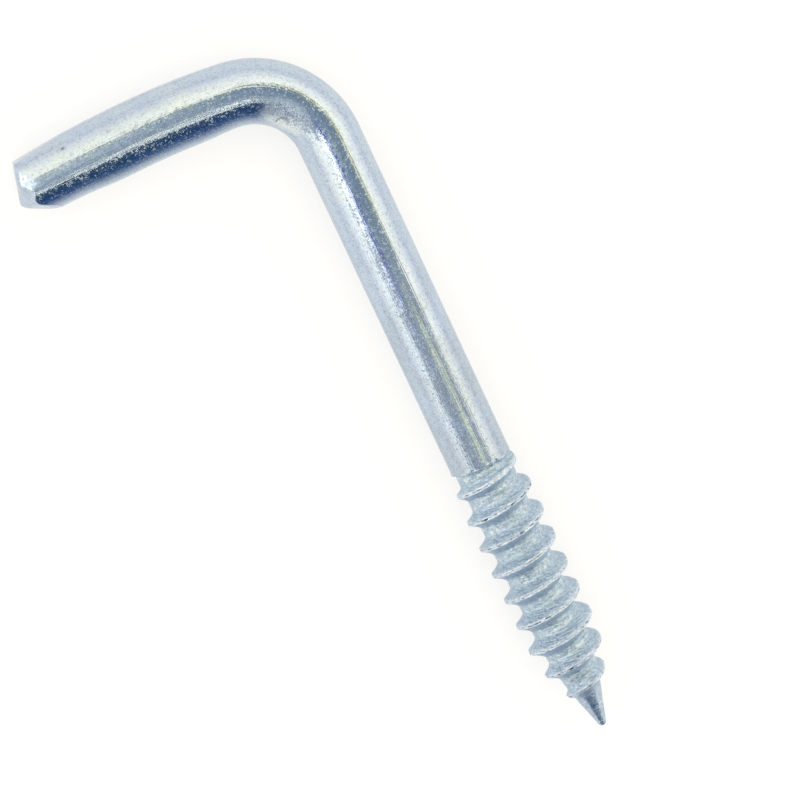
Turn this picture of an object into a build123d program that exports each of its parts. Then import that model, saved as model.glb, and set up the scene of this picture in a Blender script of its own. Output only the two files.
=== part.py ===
# L-shaped screw hook: one length of steel wire, bent square at one end and pointed at the other,
# with a coarse wood-screw thread rolled into the pointed half.
#
# Frame: the screw axis is the Y axis and the thread's shoulder is at the origin, with the point at -Y.
# The arm reaches to -X, so the bend lies in the XY plane, and the hook lies flat with +Z up.

import os
from math import asin, atan, ceil, cos, degrees, pi, radians, sin, sqrt, tan

from build123d import *

# Wire and its bend, in millimetres and degrees
wire_diameter = 5.8
shank_length = 32.6  # straight wire between the shoulder and the bend
bend_radius = 7.3  # of the wire's middle line, as are the other bends
bend_angle = 83.0
bow_radius = 75.0  # past the bend the arm still bows a little
bow_angle = 7.5
arm_reach = 26.8  # from the screw axis to the crown of the sheared end

# Sheared end of the arm: a slanting face, a rounded crown and a drooped inner side
face_slant = 16.5
crown_rounding = 1.2
crown_offset = 0.85  # from the wire's middle line towards the inside of the hook
droop_slant = 27.0
draw_length = 5.9  # over this length the shear drew the outer side of the wire in
draw_slant = 6.0
pinch_lean = 24.0  # two flats, one over and one under, lean back from the crown
pinch_skew = 16.5

# Core of the thread: a slow taper that rounds into a cone point
neck_diameter = 5.26
core_end_diameter = 4.74
core_length = 17.0
ogive_radius = 27.6
point_half_angle = 15.6
nose_radius = 0.42
shoulder_bevel = 0.12

# Rolled ridge of the thread, right-handed, with depths counted from the shoulder towards the point
major_diameter = 6.94
pitch = 2.72
crest_width = 0.28
flank_angle = 38.0
ridge_start = -0.9
ridge_full = 3.3
ridge_fade = 2.6  # past the core's taper, where the crest starts to sink
ridge_end = 7.9  # past the taper too, where it is gone
ridge_root = 0.25  # depth of the ridge's foot inside the core
ridge_burial = 0.12  # depth of its crest inside the core at its two ends
sections_per_turn = 12

# Length by which cuts and hidden joints run past what they meet
overrun = 1.0

wire_radius = wire_diameter / 2
neck_radius = neck_diameter / 2
core_end_radius = core_end_diameter / 2
major_radius = major_diameter / 2
taper_slope_share = (neck_radius - core_end_radius) / core_length
taper_angle = degrees(atan(taper_slope_share))
ogive_length = ogive_radius * (sin(radians(point_half_angle)) - sin(radians(taper_angle)))
fade_depth = core_length + ridge_fade
end_depth = core_length + ridge_end


def core_radius(depth):
    """Radius of the thread's core at a depth below the shoulder: taper, then ogive, then cone."""
    taper_run = min(max(depth, 0), core_length)
    ogive_run = min(max(depth - core_length, 0), ogive_length)
    cone_run = max(depth - core_length - ogive_length, 0)
    turn = asin(sin(radians(taper_angle)) + ogive_run / ogive_radius)
    ogive_drop = ogive_radius * (cos(radians(taper_angle)) - cos(turn))
    cone_drop = cone_run * tan(radians(point_half_angle))
    return neck_radius - taper_slope_share * taper_run - ogive_drop - cone_drop


def crest_height(depth):
    """Height of the crest over the core: it comes up in the first turns and sinks away on the point."""
    full_height = major_radius - core_radius(min(depth, core_length))
    rise_share = (depth - ridge_start) / (ridge_full - ridge_start)
    fall_share = (end_depth - depth) / (end_depth - fade_depth)
    height_share = sqrt(max(min(rise_share, fall_share, 1), 0))
    return (full_height + ridge_burial) * height_share - ridge_burial


with BuildPart() as screw_hook:
    # Bent wire
    with BuildLine() as wire_path:
        shank = Line((0, 0), (0, shank_length))
        bend = JernArc(shank @ 1, shank % 1, bend_radius, bend_angle)
        bow = JernArc(bend @ 1, bend % 1, bow_radius, bow_angle)
        arm_run = (arm_reach + (bow @ 1).X) / -(bow % 1).X
        arm_end = (bow @ 1) + (bow % 1) * arm_run
        Line(bow @ 1, arm_end + (bow % 1) * overrun)
    with BuildSketch(Plane.XZ):
        Circle(wire_radius)
    sweep()

    # Sheared end, drawn outwards along the arm and then across it towards the inside of the hook
    end_plane = Plane(arm_end, x_dir=bow % 1, z_dir=(0, 0, 1))
    past_side = wire_diameter + overrun
    with BuildSketch(end_plane):
        with BuildLine():
            crown = CenterArc(
                (-crown_rounding, crown_offset), crown_rounding, -face_slant, 90 - droop_slant + face_slant
            )
            face = PolarLine(crown @ 0, past_side, -90 - face_slant)
            droop = PolarLine(crown @ 1, past_side, 180 - droop_slant)
            Polyline(face @ 1, (past_side, (face @ 1).Y), (past_side, (droop @ 1).Y), droop @ 1)
        make_face()
    extrude(amount=past_side, both=True, mode=Mode.SUBTRACT)
    with BuildSketch(end_plane):
        with BuildLine():
            drawn = PolarLine((-draw_length, -wire_radius), draw_length + overrun, draw_slant)
            Polyline(drawn @ 1, ((drawn @ 1).X, -past_side), (-draw_length, -past_side), drawn @ 0)
        make_face()
    extrude(amount=past_side, both=True, mode=Mode.SUBTRACT)
    for side in (1, -1):
        facing = (bow % 1).rotate(Axis.Z, pinch_skew) * cos(radians(pinch_lean))
        facing += Vector(0, 0, side * sin(radians(pinch_lean)))
        with BuildSketch(Plane(end_plane.from_local_coords((0, crown_offset)), z_dir=facing)):
            Rectangle(2 * past_side, 2 * past_side)
        extrude(amount=past_side, mode=Mode.SUBTRACT)

    # Core of the thread and its point
    with BuildSketch(Plane.XY):
        with BuildLine():
            taper = Line((neck_radius, 0), (core_end_radius, -core_length))
            ogive = JernArc(taper @ 1, taper % 1, ogive_radius, taper_angle - point_half_angle)
            nose_edge = nose_radius * cos(radians(point_half_angle))
            cone_length = ((ogive @ 1).X - nose_edge) / sin(radians(point_half_angle))
            cone = Line(ogive @ 1, (ogive @ 1) + (ogive % 1) * cone_length)
            nose = JernArc(cone @ 1, cone % 1, nose_radius, point_half_angle - 90)
            Polyline(nose @ 1, (0, overrun), (neck_radius, overrun), (neck_radius, 0))
        make_face()
    revolve(axis=Axis.Y)
    shoulder_edge = screw_hook.edges().filter_by(GeomType.CIRCLE).filter_by_position(Axis.Y, 0, 0)
    chamfer(shoulder_edge.sort_by(SortBy.RADIUS)[-1], shoulder_bevel)

    # Rolled ridge, turn by turn along its helix
    half_crest = crest_width / 2
    ridge_length = end_depth - ridge_start
    turns = ceil(ridge_length / pitch)
    for turn in range(turns):
        for station in range(sections_per_turn + 1):
            depth = ridge_start + ridge_length * (turn + station / sections_per_turn) / turns
            angle = 2 * pi * (depth - ridge_full) / pitch
            outward = (cos(angle), 0, sin(angle))
            forward = (-sin(angle), 0, cos(angle))
            foot = core_radius(depth) - ridge_root
            height = crest_height(depth) + ridge_root
            half_foot = half_crest + height * tan(radians(flank_angle))
            crest = foot + height
            with BuildSketch(Plane((0, -depth, 0), x_dir=outward, z_dir=forward)):
                with BuildLine():
                    Polyline((foot, half_foot), (foot, -half_foot), (crest, -half_crest))
                    Polyline((crest, -half_crest), (crest, half_crest), (foot, half_foot))
                make_face()
        loft()

screw_hook.part.label = "screw_hook"
os.makedirs("parts", exist_ok=True)
export_step(screw_hook.part, "parts/screw_hook.step")
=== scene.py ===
# L-shaped screw hook: the looks of the plated wire, its bend, its sheared end and its rolled thread.
# Lengths are in millimetres until a mesh or a light is made, and the frame is the part's own: the screw
# axis is Y with the point at -Y, the thread's shoulder is at the origin and the arm reaches to -X.

from math import atan, cos, pi, radians, sin

import bmesh
import bpy
import numpy as np
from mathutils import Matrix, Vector


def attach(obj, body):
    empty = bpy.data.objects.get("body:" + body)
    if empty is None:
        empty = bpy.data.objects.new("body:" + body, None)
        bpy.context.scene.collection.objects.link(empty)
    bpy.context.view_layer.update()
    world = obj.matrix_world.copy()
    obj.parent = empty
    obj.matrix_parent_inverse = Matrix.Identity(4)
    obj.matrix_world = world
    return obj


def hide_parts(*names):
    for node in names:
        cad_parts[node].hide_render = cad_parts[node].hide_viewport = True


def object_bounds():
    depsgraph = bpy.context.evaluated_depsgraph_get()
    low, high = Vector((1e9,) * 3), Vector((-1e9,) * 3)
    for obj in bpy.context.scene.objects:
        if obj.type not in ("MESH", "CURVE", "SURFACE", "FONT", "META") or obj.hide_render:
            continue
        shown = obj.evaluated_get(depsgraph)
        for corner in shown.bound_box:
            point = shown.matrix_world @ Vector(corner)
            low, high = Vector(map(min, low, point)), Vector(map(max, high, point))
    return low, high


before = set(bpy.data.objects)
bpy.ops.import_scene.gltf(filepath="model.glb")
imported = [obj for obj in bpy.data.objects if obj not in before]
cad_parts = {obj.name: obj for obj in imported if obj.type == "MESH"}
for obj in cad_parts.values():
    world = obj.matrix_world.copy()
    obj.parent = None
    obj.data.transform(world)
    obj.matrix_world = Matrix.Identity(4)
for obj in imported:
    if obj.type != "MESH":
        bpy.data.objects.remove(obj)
cad_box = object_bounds()

MM = 0.001
TINY = 1e-6  # keeps a divisor off zero

# Wire and its bends
WIRE_RADIUS = 2.9
SHANK_LENGTH = 32.6  # straight wire between the shoulder and the bend
BEND_RADIUS = 7.3  # of the wire's middle line, as is the bow's
BEND_ANGLE = radians(83.0)
BOW_RADIUS = 75.0  # past the bend the arm still bows a little
BOW_ANGLE = radians(7.5)
ARM_REACH = 26.8  # from the screw axis to the crown of the sheared end

# Swelling of the arm: lengths past the bend where it is full, falls and ends, and its height on both sides
SWELL_FULL = 3.5
SWELL_FALL = 11.0
SWELL_END = 15.5
SWELL_INNER = 0.2
SWELL_OUTER = 0.05

# Sheared end of the arm: a slanting face, a rounded crown and a drooped inner side
FACE_SLANT = radians(16.5)
CROWN_ROUNDING = 1.2
CROWN_OFFSET = 0.85  # from the wire's middle line towards the inside of the hook
CROWN_SOFTNESS = 1.1  # length over which the face runs into the droop
DROOP_SLANT = radians(27.0)
DRAW_LENGTH = 5.9  # over this length the shear drew the outer side of the wire in
DRAW_SLANT = radians(6.0)
DRAW_SOFTNESS = 0.25
DRAW_BLEND = (-3.0, 1.0)  # lengths from the start of the drawn side between which its corner softens
PINCH_LEAN = 0.52  # slope of two flats, one over and one under, on the inner side
PINCH_START = -0.7  # places towards the inside of the hook between which the flats come up
PINCH_FULL = 0.7
PINCH_EDGE = 0.2  # rounding of the edge between the flats
ROLL_LENGTH = 1.5  # over this length the shear rolled the edge over
ROLL_DROP = 0.14

# Rounding of the end's rim: the least of it, and what is added over and under and on the inner side.
# Shares of the wire's radius out of the bend say where it is added, and where the edge is rolled over.
RIM_LEAST = 0.1
RIM_OVER = 0.5
RIM_INSIDE = 0.3
RIM_OVER_SHARES = (-0.25, 0.1, 0.5, 0.85)
RIM_INSIDE_SHARES = (0.5, 1.0)  # these count into the bend
ROLL_SHARES = (-0.15, 0.15, 0.3, 0.6)

# Pits in the arm, and the half-moon mark that the bending tool left inside the bend
DEEPEST_PIT = 0.10
PIT_BEFORE_CROWN = 5.3
PIT_PAST_BOW = 1.2
MARK_ALONG = 37.42
MARK_ANGLE = radians(144)
MARK_RADIUS = 0.94
MARK_WIDTH = 0.10
MARK_DEPTH = 0.08
MARK_SPAN = (-0.2, 0.2, 1.8, 2.3)  # angles about the mark's middle where it starts, is full, falls and ends
MARK_DULL_SHARE = 0.8  # the mark is this much as dull as a pit of its depth

# Core and ridge of the thread, with depths counted from the shoulder towards the point
NECK_RADIUS = 2.63
CORE_END_RADIUS = 2.37
CORE_LENGTH = 17.0
OGIVE_RADIUS = 27.6
POINT_ANGLE = radians(15.6)
NOSE_RADIUS = 0.42
CREST_RADIUS = 3.47
PITCH = 2.72
RIDGE_START = -0.9
RIDGE_FULL = 3.3
FADE_DEPTH = 19.6
END_DEPTH = 24.9
RIDGE_BURIAL = 0.12

# Rolled skin of the ridge: hollow flanks, a seam between two lips on the crest, wear and lumps
HALF_CREST = 0.17
FLANK_WIDTH = 0.9  # where the ridge is as high as the next value
FLANK_HEIGHT = 1.1
FLANK_GROWTH = 0.85  # power by which the width follows the height
FLANK_HOLLOW = 1.5  # power that hollows the flanks
SEAM_WANDER = 0.04
SEAM_WIDTH = 0.045
SEAM_DEPTH = 0.075
SEAM_TEARS = 0.065
SEAM_HEIGHTS = (0.4, 0.8)  # heights of the ridge between which the seam opens, as for the lips and the wear
SEAM_CLOSING = (7.0, 10.0)  # depths between which it partly closes again
SEAM_CLOSED_SHARE = 0.6
LIP_HEIGHT = 0.03
LIP_PLACE = 0.12
LIP_WIDTH = 0.06
LIP_HEIGHTS = (0.2, 0.7)
CREST_WEAR = 0.03
WEAR_HEIGHTS = (0.5, 0.8)
LUMP_HEIGHT = 0.014
LUMP_RATE = 3
LUMP_DEPTHS = (0.2, 1.5)

# Shoulder, where the full wire ends in a chipped edge with a small burr over an undercut
CHIP_SIZE = 0.035
EDGE_DEPTH = -0.05
BURR_HEIGHT = 0.06
BURR_WIDTH = 0.10
EVEN_BURR_SHARE = 0.5
BEVEL_DROP = 0.30
BEVEL_START = 0.08
BEVEL_END = 0.10
CLEAR_DROP = 3  # takes the full wire's surface out of the way below the shoulder
CLEAR_LENGTH = 2
UNDERCUT_DEPTH = 0.02
UNDERCUT_PLACE = 0.22
UNDERCUT_WIDTH = 0.13

# Points around the wire, rings along each stretch of it, and how the mesh ends and is cleaned
ROUND = 144
SHANK_RINGS = 60
BEND_RINGS = 97
BOW_RINGS = 25
ARM_RINGS = 60
WALL_RINGS = 22
RIM_RINGS = 9
FACE_RINGS = 24
CONE_RINGS = 14
NOSE_RINGS = 9
END_LENGTH = 3.4  # length of the arm behind the crown where the rings lean over to the sheared face
END_SECTION = 1  # the end's outline is taken this far behind the crown
MIDDLE_SHARE = 0.02  # of the end's outline: the ring that closes the sheared face
MERGE_GAP = 2e-7  # metres; points closer than this become one
SLIVER = 1e-7  # metres; edges shorter than this are taken out

# Rows of the thread's mesh across one turn, as lengths from the crest: close on the crest, wide in the root
HALF_TURN = [0.03, 0.065, 0.105, 0.145, 0.19, 0.25, 0.32, 0.40, 0.48, 0.57, 0.67, 0.78, 0.90, 1.03, 1.18]
TURN_ROWS = [-PITCH / 2] + [-x for x in reversed(HALF_TURN)] + [0.0] + HALF_TURN
THREAD_TOP = -1.2  # depth where the thread's mesh meets the plain wire, just above the shoulder
THREAD_FOOT = 25.4  # depth where it meets the plain cone of the point
RATE_SPREAD = 0.9  # spread of a random wave's rate along the wire, in radians per millimetre

draws = np.random.default_rng(7)


def ripple(count, low, high):
    """A smooth random wave for angles and lengths: its terms as (turns, per-mm, phase, size)."""
    turns = draws.integers(low, high, count)
    size = 1 / count ** 0.5
    return [(int(t), draws.normal(0, RATE_SPREAD), draws.uniform(0, 2 * pi), size) for t in turns]


shoulder_chips = ripple(count=9, low=3, high=26)
crest_wander = ripple(count=7, low=1, high=6)
crest_tears = ripple(count=9, low=9, high=40)
skin_lumps = ripple(count=10, low=2, high=12)


def wave(terms, angle, along):
    """Value of a ripple at an angle around and a length along, about -1 to 1."""
    total = 0
    for turns, rate, phase, size in terms:
        total = total + size * np.sin(turns * angle + rate * along + phase)
    return total


def step(value, low, high):
    """Smooth step from 0 at low to 1 at high."""
    share = np.clip((value - low) / (high - low), 0, 1)
    return share * share * (3 - 2 * share)


def band(value, start, full, fall, end):
    """Smooth band: up from 0 at start to 1 at full, and from fall down to 0 at end."""
    return step(value, start, full) * (1 - step(value, fall, end))


def bell(value, width):
    """Bell-shaped rise to 1 where the value is zero."""
    return np.exp(-(value / width) ** 2)


def soft_min(a, b, softness):
    """The lesser of two lengths, with the corner between them rounded."""
    share = np.clip(0.5 + 0.5 * (b - a) / softness, 0, 1)
    return b * (1 - share) + a * share - softness * share * (1 - share)


def core_radius(depth):
    """Radius of the thread's core at a depth below the shoulder: taper, then ogive, then cone."""
    slope = (NECK_RADIUS - CORE_END_RADIUS) / CORE_LENGTH
    start = sin(atan(slope))
    ogive_length = OGIVE_RADIUS * (sin(POINT_ANGLE) - start)
    taper_run = np.clip(depth, 0, CORE_LENGTH)
    ogive_run = np.clip(depth - CORE_LENGTH, 0, ogive_length)
    cone_run = np.maximum(depth - CORE_LENGTH - ogive_length, 0)
    turn = np.arcsin(start + ogive_run / OGIVE_RADIUS)
    return (NECK_RADIUS - slope * taper_run - OGIVE_RADIUS * (cos(atan(slope)) - np.cos(turn))
            - cone_run * np.tan(POINT_ANGLE))


def crest_height(depth):
    """Height of the crest over the core: it comes up in the first turns and sinks away on the point."""
    full = CREST_RADIUS - core_radius(np.minimum(depth, CORE_LENGTH))
    rise = (depth - RIDGE_START) / (RIDGE_FULL - RIDGE_START)
    fall = (END_DEPTH - depth) / (END_DEPTH - FADE_DEPTH)
    share = np.sqrt(np.clip(np.minimum(rise, fall), 0, 1))
    return (full + RIDGE_BURIAL) * share - RIDGE_BURIAL


def thread_surface(angle, depth, from_crest):
    """Radius of the threaded end at an angle and a depth, a given length from the nearest crest."""
    height = np.maximum(crest_height(depth), 0)
    off_crest = np.abs(from_crest)
    half_foot = HALF_CREST + FLANK_WIDTH * (height / FLANK_HEIGHT) ** FLANK_GROWTH + TINY
    share = np.clip((off_crest - HALF_CREST) / (half_foot - HALF_CREST), 0, 1)
    ridge = height * (1 - share) ** FLANK_HOLLOW
    # The rolled crest closes from two lips, with a ragged seam between them
    tears = wave(crest_tears, angle, depth)
    seam = bell(from_crest - SEAM_WANDER * wave(crest_wander, angle, depth), SEAM_WIDTH)
    seam_depth = np.maximum(SEAM_DEPTH + SEAM_TEARS * tears, 0) * step(height, *SEAM_HEIGHTS)
    seam_depth = seam_depth * (1 - SEAM_CLOSED_SHARE * step(depth, *SEAM_CLOSING))
    lips = LIP_HEIGHT * tears * bell(off_crest - LIP_PLACE, LIP_WIDTH) * step(height, *LIP_HEIGHTS)
    lumps = LUMP_HEIGHT * wave(skin_lumps, angle, LUMP_RATE * depth) * step(depth, *LUMP_DEPTHS)
    worn = CREST_WEAR * step(height, *WEAR_HEIGHTS)
    radius = core_radius(depth) + ridge - seam * seam_depth + lips + lumps - worn
    # The full wire ends at the shoulder
    chips = wave(shoulder_chips, angle, 0)
    edge = CHIP_SIZE * chips + EDGE_DEPTH
    burr = BURR_HEIGHT * (EVEN_BURR_SHARE + chips) * bell(depth - edge + BURR_WIDTH, BURR_WIDTH)
    bevel = BEVEL_DROP * step(depth, edge - BEVEL_START, edge + BEVEL_END)
    cleared = CLEAR_DROP * step(depth, edge + BEVEL_END, edge + CLEAR_LENGTH)
    undercut = UNDERCUT_DEPTH * bell(depth - edge - UNDERCUT_PLACE, UNDERCUT_WIDTH)
    return np.maximum(radius - undercut, WIRE_RADIUS + burr - bevel - cleared)


def thread_mesh():
    """Points, faces and lengths from the crest of the threaded end, on rows that follow the helix."""
    per_turn = len(TURN_ROWS)
    first = int(np.floor((THREAD_TOP - RIDGE_FULL) / PITCH)) - 1
    last = int(np.ceil((THREAD_FOOT - RIDGE_FULL) / PITCH)) + 1
    rows = [RIDGE_FULL + PITCH * turn + row for turn in range(first, last) for row in TURN_ROWS]
    crest_of = np.array(TURN_ROWS * (last - first))
    column = np.arange(ROUND)
    angle = np.broadcast_to(2 * pi * column / ROUND, (len(rows), ROUND))
    depth = np.clip(np.array(rows)[:, None] + PITCH * column / ROUND, THREAD_TOP, THREAD_FOOT)
    from_crest = np.broadcast_to(crest_of[:, None], depth.shape)
    radius = thread_surface(angle, depth, from_crest)
    points = np.stack([radius * np.cos(angle), -depth, radius * np.sin(angle)], axis=-1)
    index = np.arange(depth.size).reshape(depth.shape)
    faces = []
    for row in range(len(rows) - 1):
        for col in range(ROUND):
            a, d = index[row, col], index[row + 1, col]
            if col + 1 < ROUND:
                b, c = index[row, col + 1], index[row + 1, col + 1]
            elif row + 1 + per_turn < len(rows):
                b, c = index[row + per_turn, 0], index[row + 1 + per_turn, 0]
            else:
                continue
            faces.append((a, b, c, d))
    return points.reshape(-1, 3), faces, from_crest.reshape(-1)


def point_rings():
    """Depth and radius of each ring of the plain cone and its rounded nose, and the depth of the tip."""
    rings = []
    nose_edge = NOSE_RADIUS * cos(POINT_ANGLE)
    cone_end = THREAD_FOOT + (float(core_radius(np.array(THREAD_FOOT))) - nose_edge) / np.tan(POINT_ANGLE)
    for share in np.linspace(0, 1, CONE_RINGS):
        depth = THREAD_FOOT + share * (cone_end - THREAD_FOOT)
        rings.append((depth, float(core_radius(np.array(depth)))))
    for turn in np.linspace(POINT_ANGLE, pi / 2, NOSE_RINGS)[1:-1]:
        rings.append((cone_end + NOSE_RADIUS * (sin(turn) - sin(POINT_ANGLE)), NOSE_RADIUS * cos(turn)))
    tip = cone_end + NOSE_RADIUS * (1 - sin(POINT_ANGLE))
    return rings, tip


# Middle line of the wire from the shoulder to the arm's end
bend_end = SHANK_LENGTH + BEND_RADIUS * BEND_ANGLE
bow_end = bend_end + BOW_RADIUS * BOW_ANGLE
bend_centre = np.array([-BEND_RADIUS, SHANK_LENGTH])
bend_stop = bend_centre + BEND_RADIUS * np.array([cos(BEND_ANGLE), sin(BEND_ANGLE)])
bow_centre = bend_stop - BOW_RADIUS * np.array([cos(BEND_ANGLE), sin(BEND_ANGLE)])
full_turn = BEND_ANGLE + BOW_ANGLE
bow_stop = bow_centre + BOW_RADIUS * np.array([cos(full_turn), sin(full_turn)])
arm_run = (ARM_REACH + bow_stop[0]) / sin(full_turn)
crown = bow_end + arm_run


def middle_line(along):
    """Place on the wire's middle line, and the way to the outside of the bend there."""
    if along <= SHANK_LENGTH:
        return np.array([0.0, along]), np.array([1.0, 0.0])
    if along <= bend_end:
        turn = (along - SHANK_LENGTH) / BEND_RADIUS
        out = np.array([cos(turn), sin(turn)])
        return bend_centre + BEND_RADIUS * out, out
    if along <= bow_end:
        turn = BEND_ANGLE + (along - bend_end) / BOW_RADIUS
        out = np.array([cos(turn), sin(turn)])
        return bow_centre + BOW_RADIUS * out, out
    out = np.array([cos(full_turn), sin(full_turn)])
    return bow_stop + (along - bow_end) * np.array([-out[1], out[0]]), out


def end_face(across, up):
    """Length along the wire at which it is sheared off, at a place across it (out of the bend) and up."""
    inner = -across
    face = CROWN_ROUNDING * (1 / cos(FACE_SLANT) - 1) - (CROWN_OFFSET - inner) * np.tan(FACE_SLANT)
    droop = CROWN_ROUNDING * (1 / sin(DROOP_SLANT) - 1) - (inner - CROWN_OFFSET) / np.tan(DROOP_SLANT)
    # On the inner side the shear left two flats, one over and one under, that lean back from the crown
    lean = PINCH_LEAN * step(inner, PINCH_START, PINCH_FULL)
    return crown + soft_min(face, droop, CROWN_SOFTNESS) - lean * (np.hypot(up, PINCH_EDGE) - PINCH_EDGE)


# Pits: length along the wire, angle around it, radius and depth
PITS = [(crown - PIT_BEFORE_CROWN, radians(50), 0.17, DEEPEST_PIT),
        (bow_end + PIT_PAST_BOW, radians(60), 0.11, 0.06)]


def pit_depth(angle, along):
    """Depth of the pits at an angle around the wire and a length along it."""
    depth = 0
    for pit_along, pit_angle, size, deepest in PITS:
        depth = depth + deepest * bell(np.hypot(along - pit_along, WIRE_RADIUS * (angle - pit_angle)), size)
    return depth


def tool_mark(angle, along):
    """Depth of the bending tool's mark at an angle around the wire and a length along it."""
    run = along - MARK_ALONG
    rise = WIRE_RADIUS * (MARK_ANGLE - angle)
    ring = bell(np.hypot(run, rise) - MARK_RADIUS, MARK_WIDTH)
    return MARK_DEPTH * ring * band(np.arctan2(rise, run), *MARK_SPAN)


def wire_section(angle, along):
    """Section of the wire at a length along it: places out of the bend and up."""
    out = np.cos(angle)
    swell = band(along - bend_end, 0, SWELL_FULL, SWELL_FALL, SWELL_END)
    across = WIRE_RADIUS * out - swell * np.where(out < 0, SWELL_INNER, -SWELL_OUTER) * out ** 2
    up = WIRE_RADIUS * np.sin(angle)
    drawn = along - crown + DRAW_LENGTH
    limit = WIRE_RADIUS - np.maximum(drawn, 0) * np.tan(DRAW_SLANT)
    softness = DRAW_SOFTNESS * step(drawn, *DRAW_BLEND) + TINY
    across = np.where(across > 0, soft_min(across, limit, softness), across)
    shrink = 1 - (pit_depth(angle, along) + tool_mark(angle, along)) / WIRE_RADIUS
    return across * shrink, up * shrink


def wire_rings():
    """Rings of points of the plain wire from above the shoulder to the sheared end, their places on the
    straightened wire, and how deep and dull the wire is pitted at each point."""
    angle = 2 * pi * np.arange(ROUND) / ROUND
    end_start = crown - END_LENGTH
    stations = [*np.linspace(-THREAD_TOP, SHANK_LENGTH, SHANK_RINGS)]
    stations += [*np.linspace(SHANK_LENGTH, bend_end, BEND_RINGS)[1:]]
    stations += [*np.linspace(bend_end, bow_end, BOW_RINGS)[1:]]
    stations += [*np.linspace(bow_end, end_start, ARM_RINGS)[1:]]
    rings, straight, pits = [], [], []

    def ring(across, up, along):
        places = []
        for a, u, s in zip(across, up, along):
            centre, out = middle_line(s)
            places.append((*(centre + a * out), u))
        rings.append(places)
        straight.append(np.stack([across, along, up], axis=-1))
        pits.append(pit_depth(angle, along) + MARK_DULL_SHARE * tool_mark(angle, along))

    for station in stations:
        along = np.full(ROUND, station)
        ring(*wire_section(angle, along), along)
    # Wall up to the sheared end, with its edge rolled over
    out = np.cos(angle)
    rim = RIM_LEAST + RIM_OVER * band(out, *RIM_OVER_SHARES) + RIM_INSIDE * step(-out, *RIM_INSIDE_SHARES)
    rolled = ROLL_DROP / WIRE_RADIUS * band(out, *ROLL_SHARES)
    wall_end = end_face(*wire_section(angle, np.full(ROUND, crown - END_SECTION))) - rim
    for share in np.linspace(0, 1, WALL_RINGS)[1:]:
        along = end_start + share * (wall_end - end_start)
        across, up = wire_section(angle, along)
        roll = 1 - rolled * np.clip((along - wall_end) / ROLL_LENGTH + 1, 0, 1) ** 2
        ring(across * roll, up * roll, along)
    # Rounded rim of the end, and the end itself
    across, up = (side * (1 - rolled) for side in wire_section(angle, wall_end))
    for turn in np.linspace(0, pi / 2, RIM_RINGS)[1:]:
        shrink = 1 - rim * (1 - cos(turn)) / WIRE_RADIUS
        face = end_face(across * shrink, up * shrink)
        ring(across * shrink, up * shrink, face - rim * (1 - sin(turn)))
    for inward in np.linspace(0, 1, FACE_RINGS)[1:]:
        share = (1 - rim / WIRE_RADIUS) * (1 - inward) + MIDDLE_SHARE * inward
        ring(across * share, up * share, end_face(across * share, up * share))
    return np.array(rings), np.array(straight), np.array(pits)


def ring_faces(first, count):
    """Faces between rings of points that follow each other, from the first point's number."""
    faces = []
    for row in range(count - 1):
        for col in range(ROUND):
            a = first + row * ROUND + col
            b = first + row * ROUND + (col + 1) % ROUND
            faces.append((a, a + ROUND, b + ROUND, b))
    return faces


def hook_object():
    """The whole hook as one mesh, with facts kept at each point: its place on the straightened wire, its
    length from the thread's crest, and how deep it is pitted."""
    thread, faces, from_crest = thread_mesh()
    rings, tip = point_rings()
    angle = 2 * pi * np.arange(ROUND) / ROUND
    cone = np.array([(r * cos(a), -d, r * sin(a)) for d, r in rings for a in angle] + [(0, -tip, 0)])
    cone_first = len(thread)
    tip_index = cone_first + len(cone) - 1
    last_ring = tip_index - ROUND
    faces += ring_faces(cone_first, len(rings))
    faces += [(last_ring + col, last_ring + (col + 1) % ROUND, tip_index) for col in range(ROUND)]
    wire, wire_straight, wire_pits = wire_rings()
    wire_first = tip_index + 1
    wire_last = wire_first + wire_pits.size
    faces += ring_faces(wire_first, len(wire))
    faces.append(tuple(range(wire_last - ROUND, wire_last)))
    points = np.concatenate([thread, cone, wire.reshape(-1, 3)])
    straight = np.concatenate([thread, cone, wire_straight.reshape(-1, 3)])
    from_crest = np.concatenate([from_crest, np.full(wire_last - cone_first, PITCH / 2)])
    pitted = np.concatenate([np.zeros(wire_first), wire_pits.reshape(-1) / DEEPEST_PIT])
    mesh = bpy.data.meshes.new("screw_hook_wire")
    mesh.from_pydata((points * MM).tolist(), [], faces)
    mesh.attributes.new("straight", "FLOAT_VECTOR", "POINT").data.foreach_set("vector", straight.ravel())
    mesh.attributes.new("from_crest", "FLOAT", "POINT").data.foreach_set("value", from_crest)
    mesh.attributes.new("pit", "FLOAT", "POINT").data.foreach_set("value", pitted)
    shape = bmesh.new()
    shape.from_mesh(mesh)
    bmesh.ops.remove_doubles(shape, verts=shape.verts, dist=MERGE_GAP)
    bmesh.ops.dissolve_degenerate(shape, edges=shape.edges, dist=SLIVER)
    bmesh.ops.recalc_face_normals(shape, faces=shape.faces)
    for face in shape.faces:
        face.smooth = True
    shape.to_mesh(mesh)
    shape.free()
    hook = bpy.data.objects.new("screw_hook_wire", mesh)
    bpy.context.collection.objects.link(hook)
    return hook


def linear(code):
    """Linear colour of an sRGB hex code."""
    parts = [int(code[i:i + 2], 16) / 255 for i in (1, 3, 5)]
    return [p / 12.92 if p <= 0.04045 else ((p + 0.055) / 1.055) ** 2.4 for p in parts] + [1.0]


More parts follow.
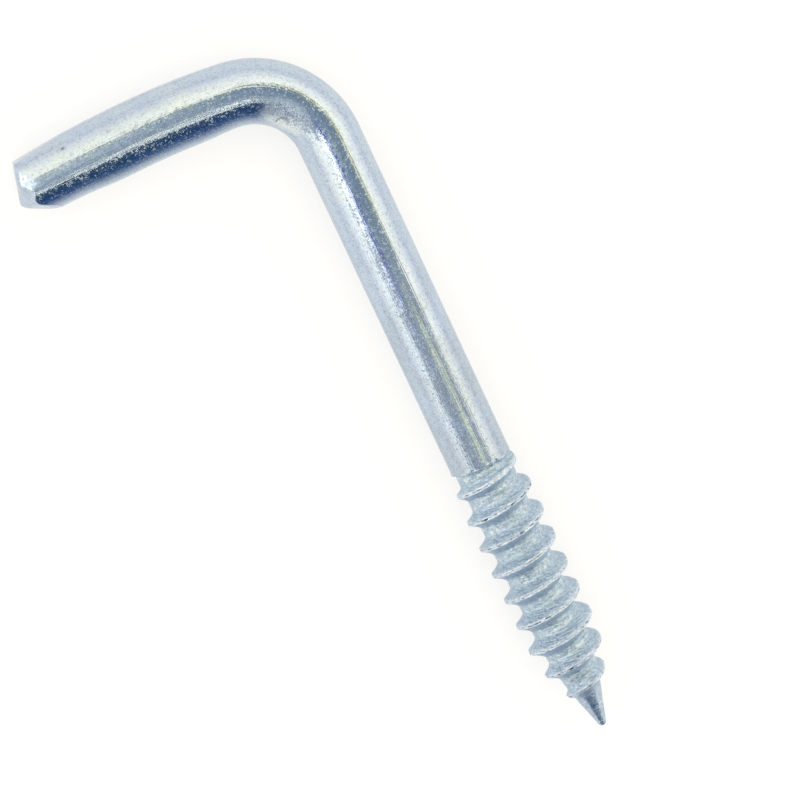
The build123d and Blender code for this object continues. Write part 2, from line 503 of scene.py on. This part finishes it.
def add(tree, kind, sockets=None, stops=None, **settings):
    """Adds a node with its settings, the stops of its ramp, and a value or a link for each named socket."""
    node = tree.nodes.new(kind)
    for name, value in settings.items():
        setattr(node, name, value)
    for name, value in (sockets or {}).items():
        if isinstance(value, bpy.types.NodeSocket):
            tree.links.new(value, node.inputs[name])
        else:
            node.inputs[name].default_value = value
    if stops:
        ramp = node.color_ramp.elements
        while len(ramp) < len(stops):
            ramp.new(0.5)
        for element, (place, code) in zip(ramp, stops):
            element.position = place
            element.color = linear(code)
    return node


def new_material(name):
    """A material with an empty node tree, and that tree."""
    material = bpy.data.materials.new(name)
    material.use_nodes = True
    material.node_tree.nodes.clear()
    return material, material.node_tree


# Sizes of the wire's patterns. Real crystals and die lines are finer, and are drawn coarse enough to show.
WIRE_GRAIN = 0.14
DIE_LINE_SPACING = 0.125
DIE_LINE_LENGTH = 6.25
DIE_LINE_DEPTH = 0.04
FLECK_SIZE = 1 / 5.5  # about 0.18 mm
CLOUD_SIZE = 1 / 0.35  # about 2.9 mm

# Places on the straightened wire: the scuff's middle and half-lengths are out of the bend, along and up
SCUFF_CENTRE = (-1.6, 37.8, 2.2)
SCUFF_SIZE = (1.7, 3.1, 1.9)
WORKED = (34.0, 46.0)  # lengths along the wire between which bending brings out the grains
GREYED = (8.0, 24.0)  # lengths along it between which the greyer plate by the shoulder clears
DULLED = (8.0, 26.0)  # the same for the duller plate
RUBBED = (-2.3, -1.2)  # places out of the bend between which the rubbed side of the scuff fades

# Sizes of the thread's patterns, drawn coarse enough to show too, and the lengths along the screw axis
# between which they come up above the smooth point
THREAD_GRAIN = 0.2
FROST_SIZE = 0.2
PRESSED_SIZE = 1 / 2.2  # about 0.45 mm
SCRATCH_SPACING = 1 / 7.0  # about 0.14 mm
SCRATCH_LENGTH = 1 / 0.6  # about 1.7 mm
SCRATCH_DEPTH = 0.1
GRAIN_COMES_UP = (-24.4, -22.6)
FLAT_HIGHLIGHTS_COME_UP = (-23.5, -22.0)
FROST_COMES_UP = (-24.6, -23.2)
THREAD_PLATE_TOP = 0.3  # the dull plate of the thread starts this far above the shoulder


def grains(tree, place, size, share, tilt):
    """Normal of a plate whose crystal grains, of a size in millimetres, lie at their own slight tilts, how
    far each grain stands out, from 0 to 1, and a random shade for each; share is how many stand out."""
    cells = add(tree, "ShaderNodeTexVoronoi", {"Vector": place, "Scale": 1 / size, "Randomness": 1.0})
    pick = add(tree, "ShaderNodeSeparateXYZ", {0: cells.outputs["Color"]})
    raised = add(tree, "ShaderNodeMath", {0: pick.outputs["X"], 1: share}, operation="ADD")
    proud = add(tree, "ShaderNodeMapRange", {"Value": raised.outputs[0], "From Min": 0.9, "From Max": 1.1})
    lean = add(tree, "ShaderNodeMapRange", {"Value": proud.outputs["Result"], "To Min": 0.04, "To Max": tilt})
    swing = add(tree, "ShaderNodeVectorMath", {0: cells.outputs["Color"], 1: (0.5, 0.5, 0.5)},
                operation="SUBTRACT")
    swing = add(tree, "ShaderNodeVectorMath", {0: swing.outputs[0], "Scale": lean.outputs["Result"]},
                operation="SCALE")
    normal = add(tree, "ShaderNodeNewGeometry").outputs["Normal"]
    tilted = add(tree, "ShaderNodeVectorMath", {0: swing.outputs[0], 1: normal}, operation="ADD")
    normal = add(tree, "ShaderNodeVectorMath", {0: tilted.outputs[0]}, operation="NORMALIZE").outputs[0]
    return normal, proud.outputs["Result"], pick.outputs["Y"]


def zinc_on_wire():
    """Bright zinc plate, blue-passivated, on drawn wire: mirror-like and cool, with coarse grains in the
    plate that break up dark reflections, faint lines along the wire from the drawing die, and a scuff where
    the bending tool gripped."""
    material, tree = new_material("bright_zinc_on_drawn_wire")
    place = add(tree, "ShaderNodeAttribute", attribute_name="straight").outputs["Vector"]
    parts = add(tree, "ShaderNodeSeparateXYZ", {0: place})
    out, along = parts.outputs["X"], parts.outputs["Y"]
    fleck = add(tree, "ShaderNodeTexNoise", {"Vector": place, "Scale": 1 / FLECK_SIZE, "Detail": 3.0,
                                             "Roughness": 0.65}).outputs["Fac"]
    # Scuff on the inside of the bend, about 6 mm long with a ragged edge
    nearness = add(tree, "ShaderNodeVectorMath", {0: place, 1: SCUFF_CENTRE}, operation="SUBTRACT")
    nearness = add(tree, "ShaderNodeVectorMath", {0: nearness.outputs[0], 1: SCUFF_SIZE}, operation="DIVIDE")
    nearness = add(tree, "ShaderNodeVectorMath", {0: nearness.outputs[0]}, operation="LENGTH")
    ragged = add(tree, "ShaderNodeMath", {0: fleck, 1: 0.5, 2: nearness.outputs["Value"]},
                 operation="MULTIPLY_ADD")
    scuff = add(tree, "ShaderNodeMapRange", {"Value": ragged.outputs[0], "From Min": 0.9, "From Max": 1.35,
                                             "To Min": 1.0, "To Max": 0.0}).outputs["Result"]
    # The grains stand out more on the bent arm than on the shank, and most in the scuff
    worked = add(tree, "ShaderNodeMapRange", {"Value": along, "From Min": WORKED[0], "From Max": WORKED[1],
                                              "To Min": 0.18, "To Max": 0.27})
    share = add(tree, "ShaderNodeMath", {0: scuff, 1: 0.2, 2: worked.outputs["Result"]},
                operation="MULTIPLY_ADD")
    tilt = add(tree, "ShaderNodeMapRange", {"Value": scuff, "To Min": 0.17, "To Max": 0.4})
    grain, proud, own_shade = grains(tree, place, WIRE_GRAIN, share.outputs[0], tilt.outputs["Result"])
    # Die lines that run along the wire
    line_scale = (1 / DIE_LINE_SPACING, 1 / DIE_LINE_LENGTH, 1 / DIE_LINE_SPACING)
    drawn = add(tree, "ShaderNodeMapping", {"Vector": place, "Scale": line_scale})
    lines = add(tree, "ShaderNodeTexNoise", {"Vector": drawn.outputs["Vector"], "Scale": 1.0, "Detail": 2.0})
    line_bump = add(tree, "ShaderNodeBump", {"Height": lines.outputs["Fac"], "Strength": 0.4,
                                             "Distance": DIE_LINE_DEPTH * MM, "Normal": grain})
    # The colour clouds over a few millimetres, and is a little greyer towards the shoulder
    cloud = add(tree, "ShaderNodeTexNoise", {"Vector": place, "Scale": 1 / CLOUD_SIZE, "Detail": 2.0})
    greyed = add(tree, "ShaderNodeMapRange", {"Value": along, "From Min": GREYED[0], "From Max": GREYED[1],
                                              "To Min": -0.35, "To Max": 0.0})
    shade = add(tree, "ShaderNodeMath", {0: cloud.outputs["Fac"], 1: greyed.outputs["Result"]},
                operation="ADD")
    tint = add(tree, "ShaderNodeValToRGB", {"Fac": shade.outputs[0]},
               stops=[(0.15, "#AFBDCD"), (0.4, "#B5C4D8"), (0.7, "#BAC8D6")])
    grain_tint = add(tree, "ShaderNodeValToRGB", {"Fac": own_shade},
                     stops=[(0.0, "#E4E4E4"), (0.35, "#FFFFFF")])
    tint = add(tree, "ShaderNodeMix", {0: 1.0, 6: tint.outputs["Color"], 7: grain_tint.outputs["Color"]},
               data_type="RGBA", blend_type="MULTIPLY")
    # The grains that stand out are frosted, the plate between them is bright, and the scuff is dull
    dulled = add(tree, "ShaderNodeMapRange", {"Value": along, "From Min": DULLED[0], "From Max": DULLED[1],
                                              "To Min": 0.17, "To Max": 0.13})
    grain_rough = add(tree, "ShaderNodeMapRange", {"Value": own_shade, "From Min": 0.35, "From Max": 1.0,
                                                   "To Min": 0.28, "To Max": 0.45})
    rough = add(tree, "ShaderNodeMapRange", {"Value": proud, "To Min": dulled.outputs["Result"],
                                             "To Max": grain_rough.outputs["Result"]})
    rough = add(tree, "ShaderNodeMapRange", {"Value": scuff, "To Min": rough.outputs["Result"],
                                             "To Max": 0.48})
    # The scuff is mottled in flecks and rubbed pale on its inner side, and the pits are dull
    mottle = add(tree, "ShaderNodeValToRGB", {"Fac": fleck},
                 stops=[(0.36, "#8B9CB1"), (0.5, "#B4C5D9"), (0.62, "#DCE8F4")])
    rubbed = add(tree, "ShaderNodeMapRange", {"Value": out, "From Min": RUBBED[0], "From Max": RUBBED[1],
                                              "To Min": 0.85, "To Max": 0.0})
    mottle = add(tree, "ShaderNodeMix", {0: rubbed.outputs["Result"], 6: mottle.outputs["Color"],
                                         7: linear("#E2EBEC")}, data_type="RGBA")
    tint = add(tree, "ShaderNodeMix", {0: scuff, 6: tint.outputs[2], 7: mottle.outputs[2]}, data_type="RGBA")
    pit = add(tree, "ShaderNodeAttribute", attribute_name="pit").outputs["Fac"]
    tint = add(tree, "ShaderNodeMix", {0: pit, 6: tint.outputs[2], 7: linear("#5F6C7A")}, data_type="RGBA")
    shader = add(tree, "ShaderNodeBsdfPrincipled", {"Base Color": tint.outputs[2], "Metallic": 1.0,
                                                    "Roughness": rough.outputs["Result"],
                                                    "Normal": line_bump.outputs["Normal"]})
    add(tree, "ShaderNodeOutputMaterial", {"Surface": shader.outputs["BSDF"]})
    return material


def zinc_on_thread():
    """Dull zinc plate on the rolled thread: frosted and pale, since rolling left the steel under it rough.
    The seam along the crest has painted shade, its lips have a painted highlight, and the point is smooth
    again."""
    material, tree = new_material("dull_zinc_on_rolled_thread")
    place = add(tree, "ShaderNodeAttribute", attribute_name="straight").outputs["Vector"]
    along = add(tree, "ShaderNodeSeparateXYZ", {0: place}).outputs["Y"]
    crest = add(tree, "ShaderNodeAttribute", attribute_name="from_crest").outputs["Fac"]
    # Frosting, marks where the dies pressed, and scratches around the thread
    frost = add(tree, "ShaderNodeTexNoise", {"Vector": place, "Scale": 1 / FROST_SIZE, "Detail": 3.0,
                                             "Roughness": 0.7})
    pressed = add(tree, "ShaderNodeTexNoise", {"Vector": place, "Scale": 1 / PRESSED_SIZE,
                                               "Detail": 3.0}).outputs["Fac"]
    scratch_scale = (1 / SCRATCH_LENGTH, 1 / SCRATCH_SPACING, 1 / SCRATCH_LENGTH)
    around = add(tree, "ShaderNodeMapping", {"Vector": place, "Scale": scratch_scale})
    scratch = add(tree, "ShaderNodeTexNoise", {"Vector": around.outputs["Vector"], "Scale": 1.0,
                                               "Detail": 2.0})
    tilt = add(tree, "ShaderNodeMapRange", {"Value": along, "From Min": GRAIN_COMES_UP[0],
                                            "From Max": GRAIN_COMES_UP[1], "To Min": 0.12, "To Max": 0.42})
    grain, _, _ = grains(tree, place, THREAD_GRAIN, 0.5, tilt.outputs["Result"])
    scratch_bump = add(tree, "ShaderNodeBump", {"Height": scratch.outputs["Fac"], "Strength": 1.0,
                                                "Distance": SCRATCH_DEPTH * MM, "Normal": grain})
    # Painted shade in the crest's seam and a painted highlight on its lips, a few tenths of a millimetre
    # wide, broken up by the marks of the dies
    off_crest = add(tree, "ShaderNodeMath", {0: crest}, operation="ABSOLUTE").outputs[0]
    ragged = add(tree, "ShaderNodeMath", {0: pressed, 1: 0.5, 2: off_crest}, operation="MULTIPLY_ADD")
    seam_shade_and_lip_highlight = add(tree, "ShaderNodeValToRGB", {"Fac": ragged.outputs[0]},
                     stops=[(0.18, "#607080"), (0.23, "#93A3B2"), (0.27, "#E4EEF8"), (0.42, "#CAD8E8"),
                            (0.62, "#BACCDE")])
    speckle = add(tree, "ShaderNodeValToRGB", {"Fac": frost.outputs["Fac"]},
                  stops=[(0.36, "#CFD3D6"), (0.5, "#F4F6F8"), (0.62, "#FFFFFF")])
    tint = add(tree, "ShaderNodeMix", {0: 1.0, 6: seam_shade_and_lip_highlight.outputs["Color"], 7: speckle.outputs["Color"]},
               data_type="RGBA", blend_type="MULTIPLY")
    # Painted highlight on flats of about half a millimetre in the root, where the dies pressed hardest
    above_point = add(tree, "ShaderNodeMapRange", {"Value": along, "From Min": FLAT_HIGHLIGHTS_COME_UP[0],
                                                   "From Max": FLAT_HIGHLIGHTS_COME_UP[1]})
    root = add(tree, "ShaderNodeMapRange", {"Value": off_crest, "From Min": 0.75, "From Max": 1.1,
                                            "To Max": above_point.outputs["Result"]})
    flat_highlight = add(tree, "ShaderNodeMapRange", {"Value": pressed, "From Min": 0.5, "From Max": 0.64})
    flat_highlight = add(tree, "ShaderNodeMath", {0: flat_highlight.outputs["Result"], 1: root.outputs["Result"]},
               operation="MULTIPLY")
    tint = add(tree, "ShaderNodeMix", {0: flat_highlight.outputs[0], 6: tint.outputs[2], 7: linear("#DAE5EA")},
               data_type="RGBA")
    frosted = add(tree, "ShaderNodeMapRange", {"Value": pressed, "From Min": 0.35, "From Max": 0.6,
                                               "To Min": 0.40, "To Max": 0.62})
    rough = add(tree, "ShaderNodeMapRange", {"Value": along, "From Min": FROST_COMES_UP[0],
                                             "From Max": FROST_COMES_UP[1], "To Min": 0.28,
                                             "To Max": frosted.outputs["Result"]})
    shader = add(tree, "ShaderNodeBsdfPrincipled", {"Base Color": tint.outputs[2], "Metallic": 1.0,
                                                    "Roughness": rough.outputs["Result"],
                                                    "Normal": scratch_bump.outputs["Normal"]})
    add(tree, "ShaderNodeOutputMaterial", {"Surface": shader.outputs["BSDF"]})
    return material


PAPER_GLOW_SHARE = 0.72  # of the paper's white that is its own, so that the rest keeps the shadow


def floor_material():
    """White seamless paper: it shows white to the camera and in the metal, keeps a soft shadow, and at a low
    angle the metal sees its sheen."""
    material, tree = new_material("white_seamless_paper")
    path = add(tree, "ShaderNodeLightPath")
    seen = add(tree, "ShaderNodeMath", {0: path.outputs["Is Camera Ray"], 1: path.outputs["Is Glossy Ray"]},
               operation="MAXIMUM")
    seen = add(tree, "ShaderNodeMath", {0: seen.outputs[0], 1: path.outputs["Is Transmission Ray"]},
               operation="MAXIMUM")
    share = add(tree, "ShaderNodeMath", {0: seen.outputs[0], 1: PAPER_GLOW_SHARE}, operation="MULTIPLY")
    paper = add(tree, "ShaderNodeBsdfDiffuse", {"Color": linear("#E0E4EA")})
    glow = add(tree, "ShaderNodeEmission", {"Color": linear("#FFFFFF"), "Strength": 1.0})
    mix = add(tree, "ShaderNodeMixShader", {0: share.outputs[0], 1: paper.outputs[0], 2: glow.outputs[0]})
    slope = add(tree, "ShaderNodeLayerWeight", {"Blend": 0.5})
    low = add(tree, "ShaderNodeMath", {0: slope.outputs["Facing"], 1: 2.0}, operation="POWER")
    low = add(tree, "ShaderNodeMath", {0: low.outputs[0], 1: path.outputs["Is Glossy Ray"]},
              operation="MULTIPLY")
    sheen = add(tree, "ShaderNodeBsdfGlossy", {"Color": linear("#FFFFFF"), "Roughness": 0.2})
    mix = add(tree, "ShaderNodeMixShader", {0: low.outputs[0], 1: mix.outputs[0], 2: sheen.outputs[0]})
    add(tree, "ShaderNodeOutputMaterial", {"Surface": mix.outputs[0]})
    return material


def card_material(name, code, strength=1.0):
    """Matt studio card or lamp cloth of one colour, which the bright wire mirrors as a band."""
    material, tree = new_material(name)
    glow = add(tree, "ShaderNodeEmission", {"Color": linear(code), "Strength": strength})
    add(tree, "ShaderNodeOutputMaterial", {"Surface": glow.outputs[0]})
    return material


def fading_card_material():
    """Matt card over the arm, pale at its outer end and slate towards the bend."""
    material, tree = new_material("fading_card")
    across = add(tree, "ShaderNodeSeparateXYZ", {0: add(tree, "ShaderNodeTexCoord").outputs["Generated"]})
    fade = add(tree, "ShaderNodeValToRGB", {"Fac": across.outputs["X"]},
               stops=[(0.28, "#E8EEEA"), (0.375, "#B2C0C8"), (0.535, "#93A5B3")])
    glow = add(tree, "ShaderNodeEmission", {"Color": fade.outputs["Color"], "Strength": 1.0})
    add(tree, "ShaderNodeOutputMaterial", {"Surface": glow.outputs[0]})
    return material


def sheet(name, corners, material):
    """A flat four-cornered sheet of the studio, from corners in millimetres."""
    mesh = bpy.data.meshes.new(name)
    mesh.from_pydata([tuple(c * MM for c in corner) for corner in corners], [], [(0, 1, 2, 3)])
    mesh.materials.append(material)
    piece = bpy.data.objects.new(name, mesh)
    bpy.context.collection.objects.link(piece)
    return piece


def level_sheet(name, edges, material):
    """A sheet that lies level, from its left and right in X, its front and back in Y, and its height."""
    left, right, front, back, height = edges
    corners = [(left, front, height), (right, front, height), (right, back, height), (left, back, height)]
    return sheet(name, corners, material)


# The hook takes the place of the plain solid
hook = hook_object()
hook.data.materials.append(zinc_on_wire())
hook.data.materials.append(zinc_on_thread())
for face in hook.data.polygons:
    if face.center.y < THREAD_PLATE_TOP * MM:
        face.material_index = 1
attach(hook, "root")
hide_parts("screw_hook")

# Studio: white paper in a white room, with coloured cards and lamp cloths that only the metal sees
FLOOR_REACH = 900
floor_z = cad_box[0][2] / MM
level_sheet("floor", (-FLOOR_REACH, FLOOR_REACH, -FLOOR_REACH, FLOOR_REACH, floor_z), floor_material())

# Edges that cards share: left and right in X, front and back in Y, and heights
WHITE_LEFT = -140
ARM_CARD_LEFT = -70
BLUE_RIGHT = -46
SLATE_RIGHT = 126
STRAW_RIGHT = 172
NEAR_LEFT = -238
FAR_FRONT = -700
NAVY_BACK = -125
NEAR_BACK = -25
SLATE_SPLIT = 0
BLUE_BACK = 4
SLATE_BACK = 109
CARD_Z = 240
NAVY_Z = 241
NEAR_Z = 242
LINE_Z = 239
LAMP_Z = 110

# Level cards and lamps: left, right, front, back and height
ARM_CARD = (ARM_CARD_LEFT, SLATE_RIGHT, SLATE_SPLIT, SLATE_BACK, CARD_Z)
SHANK_CARD = (BLUE_RIGHT, SLATE_RIGHT, NEAR_BACK, SLATE_SPLIT, CARD_Z)
NEAR_CARD = (NEAR_LEFT, STRAW_RIGHT, -200, NEAR_BACK, NEAR_Z)
NEAR_EDGE = (-340, NEAR_LEFT, NAVY_BACK, NEAR_BACK, NEAR_Z)
FRONT_CARD = (-420, 300, FAR_FRONT, NAVY_BACK, NAVY_Z)
MOSS_EDGE = (-120, 60, -137, -117, 240.5)
SHANK_LAMP = (6, 26, -31, -6, LAMP_Z)
THREAD_LAMP = (4, 58, -85, -44, LAMP_Z)
STRAW_CARD = (SLATE_RIGHT, STRAW_RIGHT, NEAR_BACK, SLATE_BACK, CARD_Z)
STRAW_EDGE = (ARM_CARD_LEFT, 170, SLATE_BACK, 126, CARD_Z)
BLUE_CARD = (-99, BLUE_RIGHT, NEAR_BACK, BLUE_BACK, 239.5)  # just under its neighbours, where it laps them
WHITE_CARD = (WHITE_LEFT, -98, NEAR_BACK, BLUE_BACK, CARD_Z)
WHITE_WING = (WHITE_LEFT, ARM_CARD_LEFT, BLUE_BACK, SLATE_BACK, CARD_Z)

# Corners of the upright card in the distance, and of the slanting lamp that gives the arm its white line
FAR_CARD = [(-330, FAR_FRONT, 0), (230, FAR_FRONT, 0), (230, FAR_FRONT, NAVY_Z), (-330, FAR_FRONT, NAVY_Z)]
ARM_LAMP = [(-32, -116, LINE_Z), (26, -150, LINE_Z), (26, -126, LINE_Z), (-32, -92, LINE_Z)]

straw = card_material("straw_card", "#CDC682")
cards = [
    level_sheet("arm_card", ARM_CARD, fading_card_material()),
    level_sheet("shank_card", SHANK_CARD, card_material("slate_card", "#93A5B3")),
    level_sheet("near_card", NEAR_CARD, card_material("ash_card", "#C2C7CD")),
    level_sheet("near_edge", NEAR_EDGE, card_material("white_edge", "#FFFBF0", strength=2.0)),
    level_sheet("front_card", FRONT_CARD, card_material("navy_card", "#274F75")),
    sheet("far_card", FAR_CARD, card_material("far_card", "#466794")),
    level_sheet("moss_edge", MOSS_EDGE, card_material("moss_card", "#4A6440")),
    sheet("arm_lamp", ARM_LAMP, card_material("arm_lamp_cloth", "#FFF8E0", strength=3.6)),
    level_sheet("shank_lamp", SHANK_LAMP, card_material("warm_lamp_cloth", "#F6F0BC", strength=1.9)),
    level_sheet("thread_lamp", THREAD_LAMP, card_material("bright_lamp_cloth", "#FFF8E0", strength=2.9)),
    level_sheet("straw_card", STRAW_CARD, straw),
    level_sheet("straw_edge", STRAW_EDGE, straw),
    level_sheet("blue_card", BLUE_CARD, card_material("blue_card", "#3048B8")),
    level_sheet("white_card", WHITE_CARD, card_material("white_card", "#FFFDF8", strength=3.0)),
    level_sheet("white_wing", WHITE_WING, card_material("white_wing", "#FFFDF8", strength=2.0)),
]
for card in cards:
    card.visible_camera = False
    card.visible_shadow = False
    card.visible_diffuse = False

# A white room: high up it is warmer and almost twice as bright as near the floor, and more so to both sides
world = bpy.data.worlds.new("white_room")
bpy.context.scene.world = world
world.use_nodes = True
room = world.node_tree
room.nodes.clear()
toward = add(room, "ShaderNodeTexCoord").outputs["Generated"]
way = add(room, "ShaderNodeSeparateXYZ", {0: toward})
up = way.outputs["Z"]
shade = add(room, "ShaderNodeValToRGB", {"Fac": up}, stops=[(0.1, "#FFFBF8"), (0.7, "#FFF4DA")])
level = add(room, "ShaderNodeMapRange", {"Value": up, "From Min": 0.05, "From Max": 0.8,
                                         "To Min": 1.0, "To Max": 1.8})
sides = add(room, "ShaderNodeMath", {0: way.outputs["X"]}, operation="ABSOLUTE")
sides = add(room, "ShaderNodeMath", {0: sides.outputs[0], 1: up}, operation="MULTIPLY")
level = add(room, "ShaderNodeMath", {0: sides.outputs[0], 1: 0.42, 2: level.outputs["Result"]},
            operation="MULTIPLY_ADD")
glow = add(room, "ShaderNodeBackground", {"Color": shade.outputs["Color"], "Strength": level.outputs[0]})
add(room, "ShaderNodeOutputWorld", {"Surface": glow.outputs[0]})

# One square soft box, high up and out beyond the arm's end, with its power in watts
SOFT_BOX_PLACE = Vector((-260, 260, 330))
SOFT_BOX_AIM = Vector((-5, 10, 0))
SOFT_BOX_SIZE = 220
SOFT_BOX_POWER = 0.12
light = bpy.data.lights.new("soft_box", "AREA")
light.size = SOFT_BOX_SIZE * MM
light.energy = SOFT_BOX_POWER
soft_box = bpy.data.objects.new("soft_box", light)
soft_box.location = SOFT_BOX_PLACE * MM
soft_box.rotation_euler = (SOFT_BOX_AIM - SOFT_BOX_PLACE).to_track_quat("-Z", "Y").to_euler()
bpy.context.collection.objects.link(soft_box)

# Camera at the photograph's place, looking down on the hook from the side of its bend
CAMERA_PLACE = Vector((-25.27, 64.568, 249.25))
CAMERA_TURN = (radians(-9.401), radians(-9.729), radians(-24.994))
LENS = 128.25
SENSOR_WIDTH = 36.0
NEAREST_SEEN = 10
camera = bpy.data.objects.new("camera", bpy.data.cameras.new("camera"))
camera.location = CAMERA_PLACE * MM
camera.rotation_euler = CAMERA_TURN
camera.data.lens = LENS
camera.data.sensor_width = SENSOR_WIDTH
camera.data.clip_start = NEAREST_SEEN * MM
bpy.context.collection.objects.link(camera)
bpy.context.scene.camera = camera
bpy.context.scene.view_settings.view_transform = "Standard"
